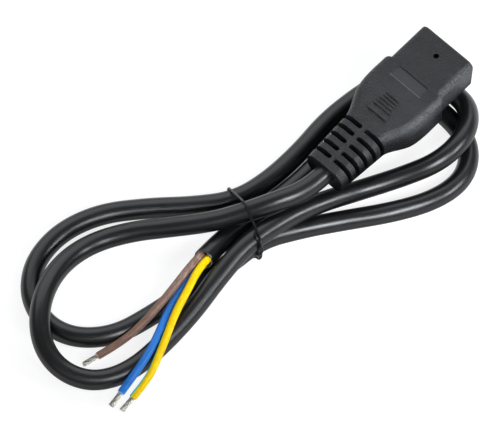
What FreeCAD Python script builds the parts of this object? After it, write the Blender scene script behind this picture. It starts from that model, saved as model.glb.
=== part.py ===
import FreeCAD, Part
import math
import os
from FreeCAD import Vector, Rotation, Placement

# Rewireable lead with a C19 appliance connector: a moulded connector on a 9 mm
# three core cable whose far end is cut, stripped and tinned. The cable lies in
# two loose turns under and beside the connector, and a thin coated wire tie
# holds it at the waist.
#
# Frame: origin at the centre of the mating face, +Y the way the connector is
# pushed on, +Z up, +X to the right. The surface it lies on is at Z = -23.5.

doc = FreeCAD.newDocument("c19_connector_lead")

# ---------------------------------------------------------------- dimensions
sheet = doc.addObject("Spreadsheet::Sheet", "Dimensions")
CELLS = [
    ("nose_width", 29.7), ("nose_width_low", 27.1), ("nose_height", 20.7), ("nose_length", 21.0),
    ("nose_corner", 3.4), ("nose_edge", 0.9),
    ("carrier_width", 25.5), ("carrier_height", 16.5), ("carrier_length", 22.0),
    ("carrier_corner", 2.0), ("cap_thickness", 2.0),
    ("blade_pitch", 13.0), ("earth_rise", 8.0), ("slot_width", 9.0), ("slot_height", 2.8),
    ("cavity_width", 9.4), ("cavity_height", 4.4), ("front_web", 1.6),
    ("contact_width", 9.0), ("contact_height", 4.0), ("contact_sheet", 0.5),
    ("contact_length", 17.0), ("contact_front", 2.2), ("barrel_radius", 1.6), ("barrel_end", 28.5),
    ("cable_radius", 4.5), ("bore_radius", 3.78), ("core_radius", 1.73), ("wire_radius", 0.85),
    ("core_ring", 2.02), ("jacket_start", 52.0), ("tip_length", 7.2), ("tip_radius", 1.05),
    ("shoulder", 21.0), ("body_end", 53.0), ("relief_end", 78.0),
    ("rib_pitch", 4.8), ("slot_half", 1.05), ("first_slot", 53.9), ("spine_half", 1.9),
    ("slot_floor_top", 4.2), ("slot_floor_low", 4.85),
    ("slot_floor_side", 3.0), ("sleeve_radius", 4.95), ("side_spine_top", 2.2), ("side_spine_low", 5.9),
    ("pin_hole_radius", 1.25), ("pin_hole_back", 8.05), ("pin_hole_depth", 1.6),
    ("label_length", 5.4), ("label_width", 17.0), ("label_depth", 0.5), ("label_front", 22.0),
    ("label_corner", 0.9), ("tie_radius", 0.53), ("tie_core_radius", 0.22),
]
for row, (name, value) in enumerate(CELLS, start=1):
    sheet.set("A%d" % row, name)
    sheet.set("B%d" % row, "%g" % value)
    sheet.setAlias("B%d" % row, name)
doc.recompute()
V = {name: float(sheet.get(name)) for name, _ in CELLS}
S = "Dimensions."


# ------------------------------------------------------------------- helpers
def plane(body, role):
    for feature in body.Origin.OriginFeatures:
        if feature.Role == role:
            return feature
    raise RuntimeError("no plane " + role)


def new_sketch(body, name, role, expression=None, offset=0.0):
    """A sketch on one of the body's own planes, moved along the plane's normal."""
    sketch = body.newObject("Sketcher::SketchObject", name)
    sketch.AttachmentSupport = [(plane(body, role), "")]
    sketch.MapMode = "FlatFace"
    sketch.AttachmentOffset = Placement(Vector(0, 0, offset), Rotation())
    if expression is not None:
        sketch.setExpression("AttachmentOffset.Base.z", expression)
    return sketch


def rounded_rect(sketch, x0, y0, x1, y1, r):
    line = Part.LineSegment
    geo = [line(Vector(x0 + r, y0, 0), Vector(x1 - r, y0, 0)),
           line(Vector(x1, y0 + r, 0), Vector(x1, y1 - r, 0)),
           line(Vector(x1 - r, y1, 0), Vector(x0 + r, y1, 0)),
           line(Vector(x0, y1 - r, 0), Vector(x0, y0 + r, 0))]
    for cx, cy, start in ((x1 - r, y0 + r, -90), (x1 - r, y1 - r, 0),
                          (x0 + r, y1 - r, 90), (x0 + r, y0 + r, 180)):
        circle = Part.Circle(Vector(cx, cy, 0), Vector(0, 0, 1), r)
        geo.append(Part.ArcOfCircle(circle, math.radians(start), math.radians(start + 90)))
    sketch.addGeometry(geo, False)


def rounded_polygon(sketch, points, r):
    """A closed outline, counter-clockwise, with every corner rounded to r."""
    pts = [Vector(x, y, 0) for x, y in points]
    geo, ends = [], []
    for before, corner, after in zip(pts[-1:] + pts[:-1], pts, pts[1:] + pts[:1]):
        a, b = (before - corner).normalize(), (after - corner).normalize()
        turn = a.getAngle(b)
        reach = r / math.tan(turn / 2)
        centre = corner + (a + b).normalize() * (r / math.sin(turn / 2))
        p, q = corner + a * reach, corner + b * reach
        start = math.atan2(p.y - centre.y, p.x - centre.x)
        circle = Part.Circle(centre, Vector(0, 0, 1), r)
        geo.append(Part.ArcOfCircle(circle, start, start + math.pi - turn))
        ends.append((p, q))
    for (_, q), (p, _) in zip(ends, ends[1:] + ends[:1]):
        geo.append(Part.LineSegment(q, p))
    sketch.addGeometry(geo, False)


def polygon(sketch, points):
    geo = [Part.LineSegment(Vector(a[0], a[1], 0), Vector(b[0], b[1], 0))
           for a, b in zip(points, points[1:] + points[:1])]
    sketch.addGeometry(geo, False)


def stadium(sketch, xa, xb, y, r, along="x"):
    """A slot outline with round ends whose centres are at xa and xb."""
    line = Part.LineSegment
    up = Vector(0, 0, 1)
    if along == "x":
        sketch.addGeometry([
            line(Vector(xa, y - r, 0), Vector(xb, y - r, 0)),
            Part.ArcOfCircle(Part.Circle(Vector(xb, y, 0), up, r), -math.pi / 2, math.pi / 2),
            line(Vector(xb, y + r, 0), Vector(xa, y + r, 0)),
            Part.ArcOfCircle(Part.Circle(Vector(xa, y, 0), up, r), math.pi / 2, 3 * math.pi / 2)], False)
    else:
        sketch.addGeometry([
            line(Vector(y + r, xa, 0), Vector(y + r, xb, 0)),
            Part.ArcOfCircle(Part.Circle(Vector(y, xb, 0), up, r), 0, math.pi),
            line(Vector(y - r, xb, 0), Vector(y - r, xa, 0)),
            Part.ArcOfCircle(Part.Circle(Vector(y, xa, 0), up, r), math.pi, 2 * math.pi)], False)


def pad(body, name, sketch, length, reverse=False):
    feature = body.newObject("PartDesign::Pad", name)
    feature.Profile = sketch
    if isinstance(length, str):
        feature.setExpression("Length", length)
    else:
        feature.Length = length
    feature.Reversed = reverse
    return feature


def pocket(body, name, sketch, length, reverse=False):
    feature = body.newObject("PartDesign::Pocket", name)
    feature.Profile = sketch
    if isinstance(length, str):
        feature.setExpression("Length", length)
    else:
        feature.Length = length
    feature.Reversed = reverse
    return feature


def check_cut(body, name, before):
    """A pocket that points away from the solid cuts nothing: stop if one does."""
    doc.recompute()
    after = body.Shape.Volume
    if not after < before - 1e-3:
        raise RuntimeError("%s removed nothing (%.3f -> %.3f)" % (name, before, after))
    return after


# ------------------------------------------------------- runs and round bends
def bends(points):
    """Edges of straight runs joined by tangent arcs, each as large as fits."""
    pts = [Vector(*p) for p in points]
    edges, radii, length, here = [], [], 0.0, pts[0]
    for before, corner, after in zip(pts, pts[1:], pts[2:]):
        a, b = before - corner, after - corner
        reach = 0.45 * min(a.Length, b.Length)
        a, b = Vector(a).normalize(), Vector(b).normalize()
        turn = math.pi - a.getAngle(b)
        radius = reach / math.tan(turn / 2)
        p, q = corner + a * reach, corner + b * reach
        middle = (a + b).normalize()
        mid = corner + middle * (radius / math.cos(turn / 2) - radius)
        edges.append(Part.LineSegment(here, p).toShape())
        edges.append(Part.Arc(p, mid, q).toShape())
        length += (p - here).Length + radius * turn
        radii.append(radius)
        here = q
    edges.append(Part.LineSegment(here, pts[-1]).toShape())
    length += (pts[-1] - here).Length
    return edges, radii, length


def turned(v, axis, angle):
    return Rotation(axis, math.degrees(angle)).multVec(v)


def beside(points, offset, start_from=None):
    """The same runs and arcs moved sideways by an offset that is carried along
    without twist: an offset of an arc about the arc's own axis is an arc."""
    pts = [Vector(*p) for p in points]
    edges, length, o, here = [], 0.0, Vector(offset), pts[0]
    first = start_from if start_from is not None else here + o
    ends = None
    for before, corner, after in zip(pts, pts[1:], pts[2:]):
        a, b = before - corner, after - corner
        reach = 0.45 * min(a.Length, b.Length)
        a, b = Vector(a).normalize(), Vector(b).normalize()
        turn = math.pi - a.getAngle(b)
        radius = reach / math.tan(turn / 2)
        p, q = corner + a * reach, corner + b * reach
        middle = (a + b).normalize()
        mid = corner + middle * (radius / math.cos(turn / 2) - radius)
        axis = (-a).cross(b).normalize()
        half = turned(o, axis, turn / 2)
        full = turned(o, axis, turn)
        p, mid, q = p + o, mid + half, q + full
        edges.append(Part.LineSegment(first, p).toShape())
        edges.append(Part.Arc(p, mid, q).toShape())
        o, first = full, q
        ends = (q, o)
    return edges, ends


def tube(edges, radius, hole=0.0):
    """A round section, or a ring, carried along the edges."""
    wire = Part.Wire(edges)
    start = edges[0].Vertexes[0].Point
    tangent = edges[0].tangentAt(edges[0].FirstParameter)
    outer = Part.Wire(Part.Circle(start, tangent, radius).toShape())
    solid = sweep(wire, outer)
    if hole:
        inner = Part.Wire(Part.Circle(start, tangent, hole).toShape())
        solid = solid.cut(sweep(wire, inner))
    return solid


def sweep(wire, section):
    face = Part.Face(section)
    shape = wire.makePipe(face)
    solid = shape if shape.ShapeType == "Solid" else shape.Solids[0]
    if solid.Volume < 0:
        solid.reverse()
    return solid


def feature(name, shape, at=None):
    made = doc.addObject("Part::Feature", name)
    made.Shape = shape
    made.Placement = at if at is not None else Placement()
    return made


# ==================================================================== overmould
# A sketch on the XZ plane has x to the right and y up, and its offset moves it
# back from the mating face, because that plane's normal is -Y.
mould = doc.addObject("PartDesign::Body", "overmould_form")


def section(name, back, half, top, low, corner, expression=None):
    sketch = new_sketch(mould, name, "XZ_Plane", expression, back)
    rounded_rect(sketch, -half, -low, half, top, corner)
    return sketch


def loft(name, sections, ruled):
    made = mould.newObject("PartDesign::AdditiveLoft", name)
    made.Profile = sections[0]
    made.Sections = sections[1:]
    made.Ruled = ruled
    return made


w, t = V["nose_width"] / 2, V["nose_height"] / 2
low = V["nose_width_low"] / 2
nose = new_sketch(mould, "nose_section", "XZ_Plane")
rounded_polygon(nose, [(-low, -t), (low, -t), (w, t), (-w, t)], V["nose_corner"])
nose_pad = pad(mould, "nose", nose, S + "nose_length + 1")
doc.recompute()

# The rim of the mating face is rounded all the way round.
front = ["Edge%d" % i for i, edge in enumerate(nose_pad.Shape.Edges, start=1)
         if all(abs(v.Point.y) < 1e-6 for v in edge.Vertexes)]
rim = mould.newObject("PartDesign::Fillet", "nose_rim")
rim.Base = (nose_pad, front)
rim.setExpression("Radius", S + "nose_edge")
doc.recompute()
if not rim.Shape.Volume < nose_pad.Shape.Volume:
    raise RuntimeError("the rim was not rounded")

# The shoulder steps out at the sides only: top and bottom run on from the nose.
shoulder = [section("shoulder_%d" % i, back, half, t, t, 3.4)
            for i, (back, half) in enumerate(((21.0, 15.25), (21.2, 15.8), (21.7, 16.25), (22.6, 16.5)))]
loft("shoulder", shoulder, True)
doc.recompute()

# Half width, height above and below the axis, and corner radius along the body.
BODY = [(22.6, 16.5, 10.35, 10.35, 3.4), (28.0, 16.6, 10.35, 10.35, 3.5), (33.0, 16.6, 10.35, 10.35, 3.7),
        (37.0, 16.4, 10.1, 10.3, 4.0), (40.5, 15.85, 9.65, 10.1, 4.3), (44.0, 14.6, 9.0, 9.65, 4.7),
        (47.0, 13.2, 8.35, 9.05, 5.0), (50.0, 11.95, 7.75, 8.3, 5.1), (53.0, 11.2, 7.35, 7.75, 5.1)]
body = [section("body_%d" % i, *row) for i, row in enumerate(BODY)]
loft("body", body, False)
doc.recompute()

relief = [section("relief_front", 53.0, 11.2, 7.35, 7.75, 5.1),
          section("relief_rear", 78.0, 9.95, 6.75, 6.9, 5.1, S + "relief_end")]
loft("strain_relief", relief, True)
doc.recompute()
volume = mould.Shape.Volume

# Slots of the strain relief: five in each quarter, cut from above, from below
# and from both sides, so that a spine stays along the top, bottom and sides.
r, first, pitch = V["slot_half"], -V["first_slot"], V["rib_pitch"]


def ribs(name, role, level, far, spans, reverse):
    """One row of slots and its pattern along the strain relief."""
    global volume
    sketch = new_sketch(mould, name + "_outline", role, None, level)
    for a, b, along in spans:
        stadium(sketch, a, b, first, r, along)
    cut = pocket(mould, name, sketch, far, reverse)
    doc.recompute()
    volume = check_cut(mould, name, volume)
    row = mould.newObject("PartDesign::LinearPattern", name + "_row")
    row.Originals = [cut]
    row.Direction = (plane(mould, "Y_Axis"), [""])
    row.Reversed = True
    row.Length = 4 * pitch
    row.Occurrences = 5
    mould.Tip = row
    volume = check_cut(mould, name + "_row", volume)


c, cw = V["spine_half"], V["slot_floor_side"]
ribs("slots_top", "XY_Plane", V["slot_floor_top"], 8.0, ((c, 14.0, "x"), (-14.0, -c, "x")), True)
ribs("slots_bottom", "XY_Plane", -V["slot_floor_low"], 8.0, ((c, 14.0, "x"), (-14.0, -c, "x")), False)


def side_ribs(name, level, reverse):
    """The YZ plane's sketches have x along +Y and y up."""
    global volume
    sketch = new_sketch(mould, name + "_outline", "YZ_Plane", None, level)
    for a, b in ((-V["side_spine_top"], 12.0), (-12.0, -V["side_spine_low"])):
        stadium(sketch, a, b, first, r, "y")
    cut = pocket(mould, name, sketch, 12.0, reverse)
    doc.recompute()
    volume = check_cut(mould, name, volume)
    row = mould.newObject("PartDesign::LinearPattern", name + "_row")
    row.Originals = [cut]
    row.Direction = (plane(mould, "Y_Axis"), [""])
    row.Reversed = True
    row.Length = 4 * pitch
    row.Occurrences = 5
    mould.Tip = row
    volume = check_cut(mould, name + "_row", volume)


side_ribs("slots_right", cw, True)
side_ribs("slots_left", -cw, False)

# A thin sleeve stays round the cable at the bottom of the slots.
sleeve = new_sketch(mould, "sleeve_section", "XZ_Plane", S + "body_end", V["body_end"])
sleeve.addGeometry(Part.Circle(Vector(0, 0, 0), Vector(0, 0, 1), V["sleeve_radius"]), False)
before = mould.Shape.Volume
pad(mould, "sleeve", sleeve, S + "relief_end - " + S + "body_end")
doc.recompute()
if not mould.Shape.Volume > before:
    raise RuntimeError("the sleeve added nothing")

# Thumb grip: five thin ridges and a block that follow the falling top face.
# Each row has its front and rear distance, its half widths and its own height.
GRIP = [(-34.95, -35.60, 3.35, 3.45, 10.85), (-36.55, -37.20, 3.65, 3.75, 10.75),
        (-38.15, -38.80, 3.95, 4.05, 10.60), (-39.80, -40.50, 4.25, 4.35, 10.35),
        (-41.50, -42.25, 4.55, 4.65, 10.00), (-43.20, -45.60, 4.9, 5.3, 9.75)]
for i, (front, back, a, b, top) in enumerate(GRIP):
    sketch = new_sketch(mould, "grip_outline_%d" % i, "XY_Plane", None, top - 2.4)
    polygon(sketch, [(-a, front), (-b, back), (b, back), (a, front)])
    before = mould.Shape.Volume
    pad(mould, "grip_%d" % i, sketch, 2.4)
    doc.recompute()
    if not mould.Shape.Volume > before:
        raise RuntimeError("grip %d added nothing" % i)
volume = mould.Shape.Volume

# Recessed panel behind the shoulder, and the small blind hole in the nose.
panel = new_sketch(mould, "panel_outline", "XY_Plane", None, t)
half, front = V["label_width"] / 2, -V["label_front"]
rounded_rect(panel, -half, front - V["label_length"], half, front, V["label_corner"])
pocket(mould, "panel", panel, S + "label_depth")
volume = check_cut(mould, "panel", volume)

dot = new_sketch(mould, "pin_hole_outline", "XY_Plane", None, t)
dot.addGeometry(Part.Circle(Vector(0, -V["pin_hole_back"], 0), Vector(0, 0, 1), V["pin_hole_radius"]), False)
pocket(mould, "pin_hole", dot, S + "pin_hole_depth")
volume = check_cut(mould, "pin_hole", volume)

# The seat of the contact carrier and its rear cap, open at the mating face.
seat = new_sketch(mould, "seat_outline", "XZ_Plane")
a, b = V["carrier_width"] / 2, V["carrier_height"] / 2
rounded_rect(seat, -a, -b, a, b, V["carrier_corner"])
pocket(mould, "seat", seat, S + "carrier_length + " + S + "cap_thickness", True)
volume = check_cut(mould, "seat", volume)

# ============================================================== contact carrier
L = V["blade_pitch"] / 2
RISE = V["earth_rise"] / 2
PLACES = {"line": (-L, -RISE), "neutral": (L, -RISE), "earth": (0.0, RISE)}

carrier = doc.addObject("PartDesign::Body", "contact_carrier")
carrier.Label = "contact_carrier"
outline = new_sketch(carrier, "carrier_outline", "XZ_Plane")
rounded_rect(outline, -a, -b, a, b, V["carrier_corner"])
pad(carrier, "carrier_block", outline, S + "carrier_length")
doc.recompute()
volume = carrier.Shape.Volume
for name, (x, z) in PLACES.items():
    sw, sh = V["slot_width"] / 2, V["slot_height"] / 2
    slot = new_sketch(carrier, name + "_slot_outline", "XZ_Plane")
    rounded_rect(slot, x - sw, z - sh, x + sw, z + sh, 0.5)
    pocket(carrier, name + "_slot", slot, S + "front_web + 1", True)
    volume = check_cut(carrier, name + "_slot", volume)
    sw, sh = V["cavity_width"] / 2, V["cavity_height"] / 2
    room = new_sketch(carrier, name + "_cavity_outline", "XZ_Plane", S + "front_web")
    rounded_rect(room, x - sw, z - sh, x + sw, z + sh, 0.4)
    pocket(carrier, name + "_cavity", room, S + "carrier_length", True)
    volume = check_cut(carrier, name + "_cavity", volume)

rear_cap = doc.addObject("PartDesign::Body", "carrier_cap")
rear_cap.Label = "carrier_cap"
outline = new_sketch(rear_cap, "cap_outline", "XZ_Plane", S + "carrier_length")
rounded_rect(outline, -a, -b, a, b, V["carrier_corner"])
pad(rear_cap, "cap_plate", outline, S + "cap_thickness")
doc.recompute()
volume = rear_cap.Shape.Volume
holes = new_sketch(rear_cap, "cap_hole_outline", "XZ_Plane", S + "carrier_length")
for x, z in PLACES.values():
    holes.addGeometry(Part.Circle(Vector(x, z, 0), Vector(0, 0, 1), V["barrel_radius"] + 0.05), False)
pocket(rear_cap, "cap_holes", holes, S + "cap_thickness", True)
volume = check_cut(rear_cap, "cap_holes", volume)


# ===================================================================== contacts
def leaf(sign):
    """A bowed spring leaf inside the receptacle, seen from the side."""
    hw, sh = V["contact_width"] / 2 - V["contact_sheet"] - 0.15, V["contact_sheet"]
    top = V["contact_height"] / 2 - sh
    y0, y1 = -V["contact_front"] - 0.4, -V["contact_front"] - V["contact_length"] + 3.0
    ym = (y0 + y1) / 2
    lip, thick = 0.98, 0.35
    arc = Part.Arc(Vector(0, y0, sign * top), Vector(0, ym, sign * lip), Vector(0, y1, sign * top)).toShape()
    back = Part.Arc(Vector(0, y1, sign * (top + 0.2)), Vector(0, ym, sign * (lip + thick)),
                    Vector(0, y0, sign * (top + 0.2))).toShape()
    ends = [Part.LineSegment(Vector(0, y1, sign * top), Vector(0, y1, sign * (top + 0.2))).toShape(),
            Part.LineSegment(Vector(0, y0, sign * (top + 0.2)), Vector(0, y0, sign * top)).toShape()]
    face = Part.Face(Part.Wire([arc, ends[0], back, ends[1]]))
    face.translate(Vector(-hw, 0, 0))
    return face.extrude(Vector(2 * hw, 0, 0))


def contact_shape():
    """Folded brass receptacle with two bowed leaves, a neck and a crimp barrel."""
    wd, ht, sh = V["contact_width"], V["contact_height"], V["contact_sheet"]
    front, long = V["contact_front"], V["contact_length"]
    rear = front + long
    box = Part.makeBox(wd, long, ht, Vector(-wd / 2, -rear, -ht / 2))
    room = Part.makeBox(wd - 2 * sh, long + 2, ht - 2 * sh, Vector(-wd / 2 + sh, -rear - 1, -ht / 2 + sh))
    seam = Part.makeBox(0.4, long + 2, sh * 2, Vector(-0.2, -rear - 1, -ht / 2 - sh / 2))
    shell = box.cut(room).cut(seam)
    shell = shell.fuse(leaf(1)).fuse(leaf(-1))
    br, wr, end = V["barrel_radius"], V["wire_radius"], V["barrel_end"]
    start = V["carrier_length"]
    neck = Part.makeBox(2.4, start - rear + 0.9, sh, Vector(-1.2, -start + 0.1, -ht / 2))
    riser = Part.makeBox(2.4, 1.0, ht / 2 - 0.35, Vector(-1.2, -start + 0.1, -ht / 2))
    barrel = Part.makeCylinder(br, end - start + 1.1, Vector(0, -end, 0), Vector(0, 1, 0))
    bore = Part.makeCylinder(wr, end - start + 3.1, Vector(0, -end - 1, 0), Vector(0, 1, 0))
    tail = barrel.fuse(riser).cut(bore)
    return shell.fuse(neck).fuse(tail).removeSplitter()


contact = contact_shape()
contacts = {}
for name, (x, z) in PLACES.items():
    contacts[name] = feature(name + "_contact", contact.copy(), Placement(Vector(x, 0, z), Rotation()))
    contacts[name].Label = name + "_contact"

# ======================================================================== cable
# Corners of the cable's route. It leaves the strain relief, lies through the
# waist and round the outer loop, comes back over the first pass, turns under
# the nose, makes the second turn inside the first, and ends on top at the left.
ROUTE = [
    (0, -78, 0), (0, -89, 0), (-7.1, -103, -1), (-15.2, -114.3, -6.4), (-22.6, -124.3, -9.3),
    (-34.4, -136.5, -12.4), (-47.3, -149.3, -15.6), (-56.6, -165.4, -17),
    (-57.2, -183.2, -12.9), (-50.9, -200.7, -9.1), (-40.8, -212.7, -10.3),
    (-30, -217.7, -13.5), (-18.8, -216.6, -16.4), (-9, -209.9, -18.4), (-2.4, -196.6, -18.8),
    (-0.8, -178.6, -17.4), (-1.1, -159.4, -14.6), (-3.2, -140.9, -11), (-4.3, -122.5, -8.4),
    (-1, -102.9, -8.7), (3.7, -84.9, -12.3), (10.7, -67.7, -16.2), (19.7, -53.1, -13.8),
    (30.3, -37, -6.5), (29.4, -20, -6.3), (19.6, -7.8, -12.8), (6.3, -4.8, -18),
    (-3.2, -5.8, -19), (-11.2, -10.1, -19), (-17.9, -18.3, -19), (-21.5, -34.4, -19),
    (-23, -51.8, -19), (-21.3, -69.6, -18.9), (-21.1, -88.4, -18), (-24.8, -106.9, -17.6),
    (-37.1, -121.4, -18.5), (-50.8, -135, -18.7), (-63.2, -150.2, -18.6),
    (-69.8, -167.7, -18.7), (-68.7, -184.8, -18.9), (-61.5, -196.9, -19), (-51.1, -203.3, -19),
    (-39.3, -204.3, -19), (-27.9, -199.2, -19), (-18.5, -187.4, -19), (-13.9, -170.5, -18.9),
    (-10.9, -151.6, -19), (-7, -132.3, -19), (-4.6, -113.2, -17.4), (4, -97, -19),
    (15, -81.3, -19), (27, -66.5, -17.6), (37.3, -49.7, -16.2), (39.4, -35, -17.4),
    (34.8, -23.8, -18.5), (25.1, -16.4, -19), (7.6, -14.3, -19), (-3.7, -19, -17.7),
    (-11.8, -29.9, -16.9), (-13, -47.8, -17.7), (-11.9, -65.5, -18.8), (-11.7, -84.5, -18.9),
    (-14, -103.8, -18.4), (-16.2, -122.8, -16.9), (-13.3, -139.6, -9.9),
]
edges, radii, length = bends(ROUTE)
inside = Vector(0, -V["jacket_start"], 0)
edges[0] = Part.LineSegment(inside, edges[0].Vertexes[-1].Point).toShape()
print("cable: free length %.1f mm, smallest bend %.1f mm" % (length, min(radii)))
print("bend radii: " + ", ".join("%.1f" % v for v in radii))
length += V["relief_end"] - V["jacket_start"]
jacket_shape = tube(edges, V["cable_radius"], V["bore_radius"])
want = math.pi * (V["cable_radius"] ** 2 - V["bore_radius"] ** 2) * length
print("cable_jacket: volume %.1f, section times length %.1f" % (jacket_shape.Volume, want))
if abs(jacket_shape.Volume / want - 1) > 0.002:
    raise RuntimeError("the jacket's volume is wrong")
jacket = feature("cable_jacket", jacket_shape)
jacket.Label = "cable_jacket"

# ------------------------------------------------------------ insulated cores
# Each core lies at one place round the jacket's axis, fans out to its contact
# inside the overmould, and ends in a loose tail with a bare tip.
END = Vector(*ROUTE[-1])
lay = (END - Vector(*ROUTE[-2])).normalize()
rise = (Vector(0, 0, 1) - lay * lay.z).normalize()
side = lay.cross(rise)
TAILS = {
    "line": (60, [
    (-13.99, -145.9, -6.31), (-12.4, -157.4, -6.7), (-11.8, -168.6, -9.6),
    (-12.1, -179.6, -13.1), (-13.9, -190.6, -16.2), (-17.91, -200.87, -19.49),
    ]),
    "neutral": (180, [
    (-12.07, -146.74, -9.11), (-10, -157.5, -9.9), (-7.5, -168, -10.9), (-3.5, -177.9, -11.2),
    (-0.1, -187.8, -11.6), (1.6, -197.9, -13.5), (2, -207.5, -17.6),
    ]),
    "earth": (300, [
    (-10.54, -145.31, -6.31), (-7.1, -155.7, -7), (-4.3, -166.1, -8.5), (-0.2, -175.9, -10.4),
    (3.6, -185.6, -12.8), (6.7, -195.2, -16.1), (6.6, -205.1, -19.6),
    ]),
}
# Corners of the fan inside the overmould: the three cores open out and turn
# together by about a sixth of a circle, so that none comes near another, and
# then each runs to its own contact. Distances behind the mating face.
FAN_LEAVES, FAN_OPEN, FAN_STRAIGHT = 48.2, 41.6, 34.6
FAN_RING, FAN_TURN = 4.4, math.radians(42)


def start_offset(offset):
    """The offset at the route's start that arrives as the given one at its end."""
    pts = [Vector(*p) for p in ROUTE]
    o = Vector(offset)
    for before, corner, after in reversed(list(zip(pts, pts[1:], pts[2:]))):
        a, b = (before - corner).normalize(), (after - corner).normalize()
        o = turned(o, (-a).cross(b).normalize(), -(math.pi - a.getAngle(b)))
    return o


insulations, conductors, fans = {}, {}, []
for name, (angle, tail) in TAILS.items():
    place = (rise * math.cos(math.radians(angle)) + side * math.sin(math.radians(angle))) * V["core_ring"]
    o = start_offset(place)
    x, z = PLACES[name]
    about = math.atan2(o.z, o.x) + FAN_TURN
    inner = [Vector(x, -V["carrier_length"] - 0.5, z), Vector(x, -FAN_STRAIGHT, z),
             Vector(FAN_RING * math.cos(about), -FAN_OPEN, FAN_RING * math.sin(about)),
             Vector(o.x, -FAN_LEAVES, o.z)]
    inner.append(Vector(o.x, -V["jacket_start"] - 8.0, o.z))
    fan, _, _ = bends([tuple(p) for p in inner])
    fan.pop()
    joint = fan[-1].Vertexes[-1].Point
    run, (last, turned_place) = beside(ROUTE, o, joint)
    onward = last + lay * (Vector(*tail[0]) - last).dot(lay)
    loose, _, _ = bends([tuple(last), tuple(onward)] + tail[1:])
    path = fan + run + loose
    spine = list(path)
    spine[0] = Part.LineSegment(Vector(x, -V["barrel_end"], z), path[0].Vertexes[-1].Point).toShape()
    skin = tube(spine, V["core_radius"], V["wire_radius"])
    insulations[name] = feature(name + "_insulation", skin)
    insulations[name].Label = name + "_insulation"
    finish = path[-1].Vertexes[-1].Point
    way = (finish - path[-1].Vertexes[0].Point).normalize()
    metal = list(path)
    metal[-1] = Part.LineSegment(path[-1].Vertexes[0].Point, finish + way * V["tip_length"] * 0.5).toShape()
    wire = feature(name + "_wire", tube(metal, V["wire_radius"]))
    # The strands spread beyond the insulation and are tinned together.
    tip = doc.addObject("Part::Cylinder", name + "_tinned_end")
    tip.setExpression("Radius", S + "tip_radius")
    tip.setExpression("Height", S + "tip_length")
    tip.Placement = Placement(finish, Rotation(Vector(0, 0, 1), way))
    conductors[name] = doc.addObject("Part::MultiFuse", name + "_conductor")
    conductors[name].Shapes = [wire, tip]
    conductors[name].Label = name + "_conductor"
    total = sum(e.Length for e in spine)
    want = math.pi * (V["core_radius"] ** 2 - V["wire_radius"] ** 2) * total
    print("%s core: length %.1f, volume %.1f against %.1f, tip from %s towards %s" % (
        name, total, skin.Volume, want,
        tuple(round(q, 2) for q in finish), tuple(round(q, 3) for q in way)))
    if abs(skin.Volume / want - 1) > 0.003:
        raise RuntimeError("the %s core's volume is wrong" % name)
    short = [spine[0]] + fan[1:] + [Part.LineSegment(joint, Vector(o.x, -V["jacket_start"] - 6.0, o.z)).toShape()]
    fans.append(feature(name + "_seat", tube(short, V["core_radius"])))

# The overmould is the form less everything that is moulded into it.
way = Rotation(Vector(0, 0, 1), Vector(0, 1, 0))
seat = doc.addObject("Part::Cylinder", "cable_seat")
seat.setExpression("Radius", S + "cable_radius")
seat.Height = 40
seat.Placement = Placement(Vector(0, -V["jacket_start"] - 40, 0), way)
seats = [seat] + fans
for name, (x, z) in PLACES.items():
    seat = doc.addObject("Part::Cylinder", name + "_barrel_seat")
    seat.setExpression("Radius", S + "barrel_radius")
    seat.setExpression("Height", S + "barrel_end - " + S + "carrier_length")
    seat.Placement = Placement(Vector(x, -V["barrel_end"], z), way)
    seats.append(seat)
inlay = doc.addObject("Part::MultiFuse", "moulded_in")
inlay.Shapes = seats
doc.recompute()
overmould = doc.addObject("Part::Cut", "overmould")
overmould.Base = mould
overmould.Tool = inlay
overmould.Label = "overmould"
doc.recompute()

# ===================================================================== wire tie
# The tie lies in an upright plane across the waist. In that plane u runs to the
# right and v up from the surface; it goes round the four outer strands, and its
# two ends are twisted together down the right side of the bundle.
BASE = Vector(-15.676, -111.606, -23.5)
U = Vector(0.9208, -0.39, 0).normalize()
N = Vector(0.39, 0.9208, 0).normalize()
STRANDS = [(-11.37, 5.74, 5.21), (2.0, 18.08, 5.48), (13.44, 14.98, 5.36), (11.94, 5.69, 5.2)]


def spot(u, v, n=0.0):
    return BASE + U * u + Vector(0, 0, v) + N * n


def tangent(one, two):
    """End points of the outer tangent line between two circles, clockwise."""
    (u1, v1, r1), (u2, v2, r2) = one, two
    d = math.hypot(u2 - u1, v2 - v1)
    base = math.atan2(v2 - v1, u2 - u1)
    lean = math.asin((r1 - r2) / d)
    n = base + math.pi / 2 - lean
    return (u1 + r1 * math.cos(n), v1 + r1 * math.sin(n)), (u2 + r2 * math.cos(n), v2 + r2 * math.sin(n))


def round_strand(circle, a, b):
    """The clockwise arc on one circle from point a to point b."""
    u, v, rad = circle
    a0 = math.atan2(a[1] - v, a[0] - u)
    b0 = math.atan2(b[1] - v, b[0] - u)
    while b0 > a0:
        b0 -= 2 * math.pi
    m = (a0 + b0) / 2
    return Part.Arc(spot(*a), spot(u + rad * math.cos(m), v + rad * math.sin(m)), spot(*b)).toShape()


s1, s2, s3, s4 = STRANDS
p12, p21 = tangent(s1, s2)
p23, p32 = tangent(s2, s3)
low = (s1[0], s1[1] - s1[2])

# The middle line of the twisted pair bends round the third strand, runs straight
# to the fourth and bends round that, a little before the plane of the ring.
PAIR_3, PAIR_4, BEFORE = 6.0, 5.88, -0.6
HELIX, STEPS = 0.60, 12
one, two = tangent((s3[0], s3[1], PAIR_3), (s4[0], s4[1], PAIR_4))
flank = math.atan2(one[1] - s3[1], one[0] - s3[0])
first_run = PAIR_3 * (math.radians(62) - flank)
second_run = math.hypot(two[0] - one[0], two[1] - one[1])
third_run = PAIR_4 * (flank + math.radians(54))


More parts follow.
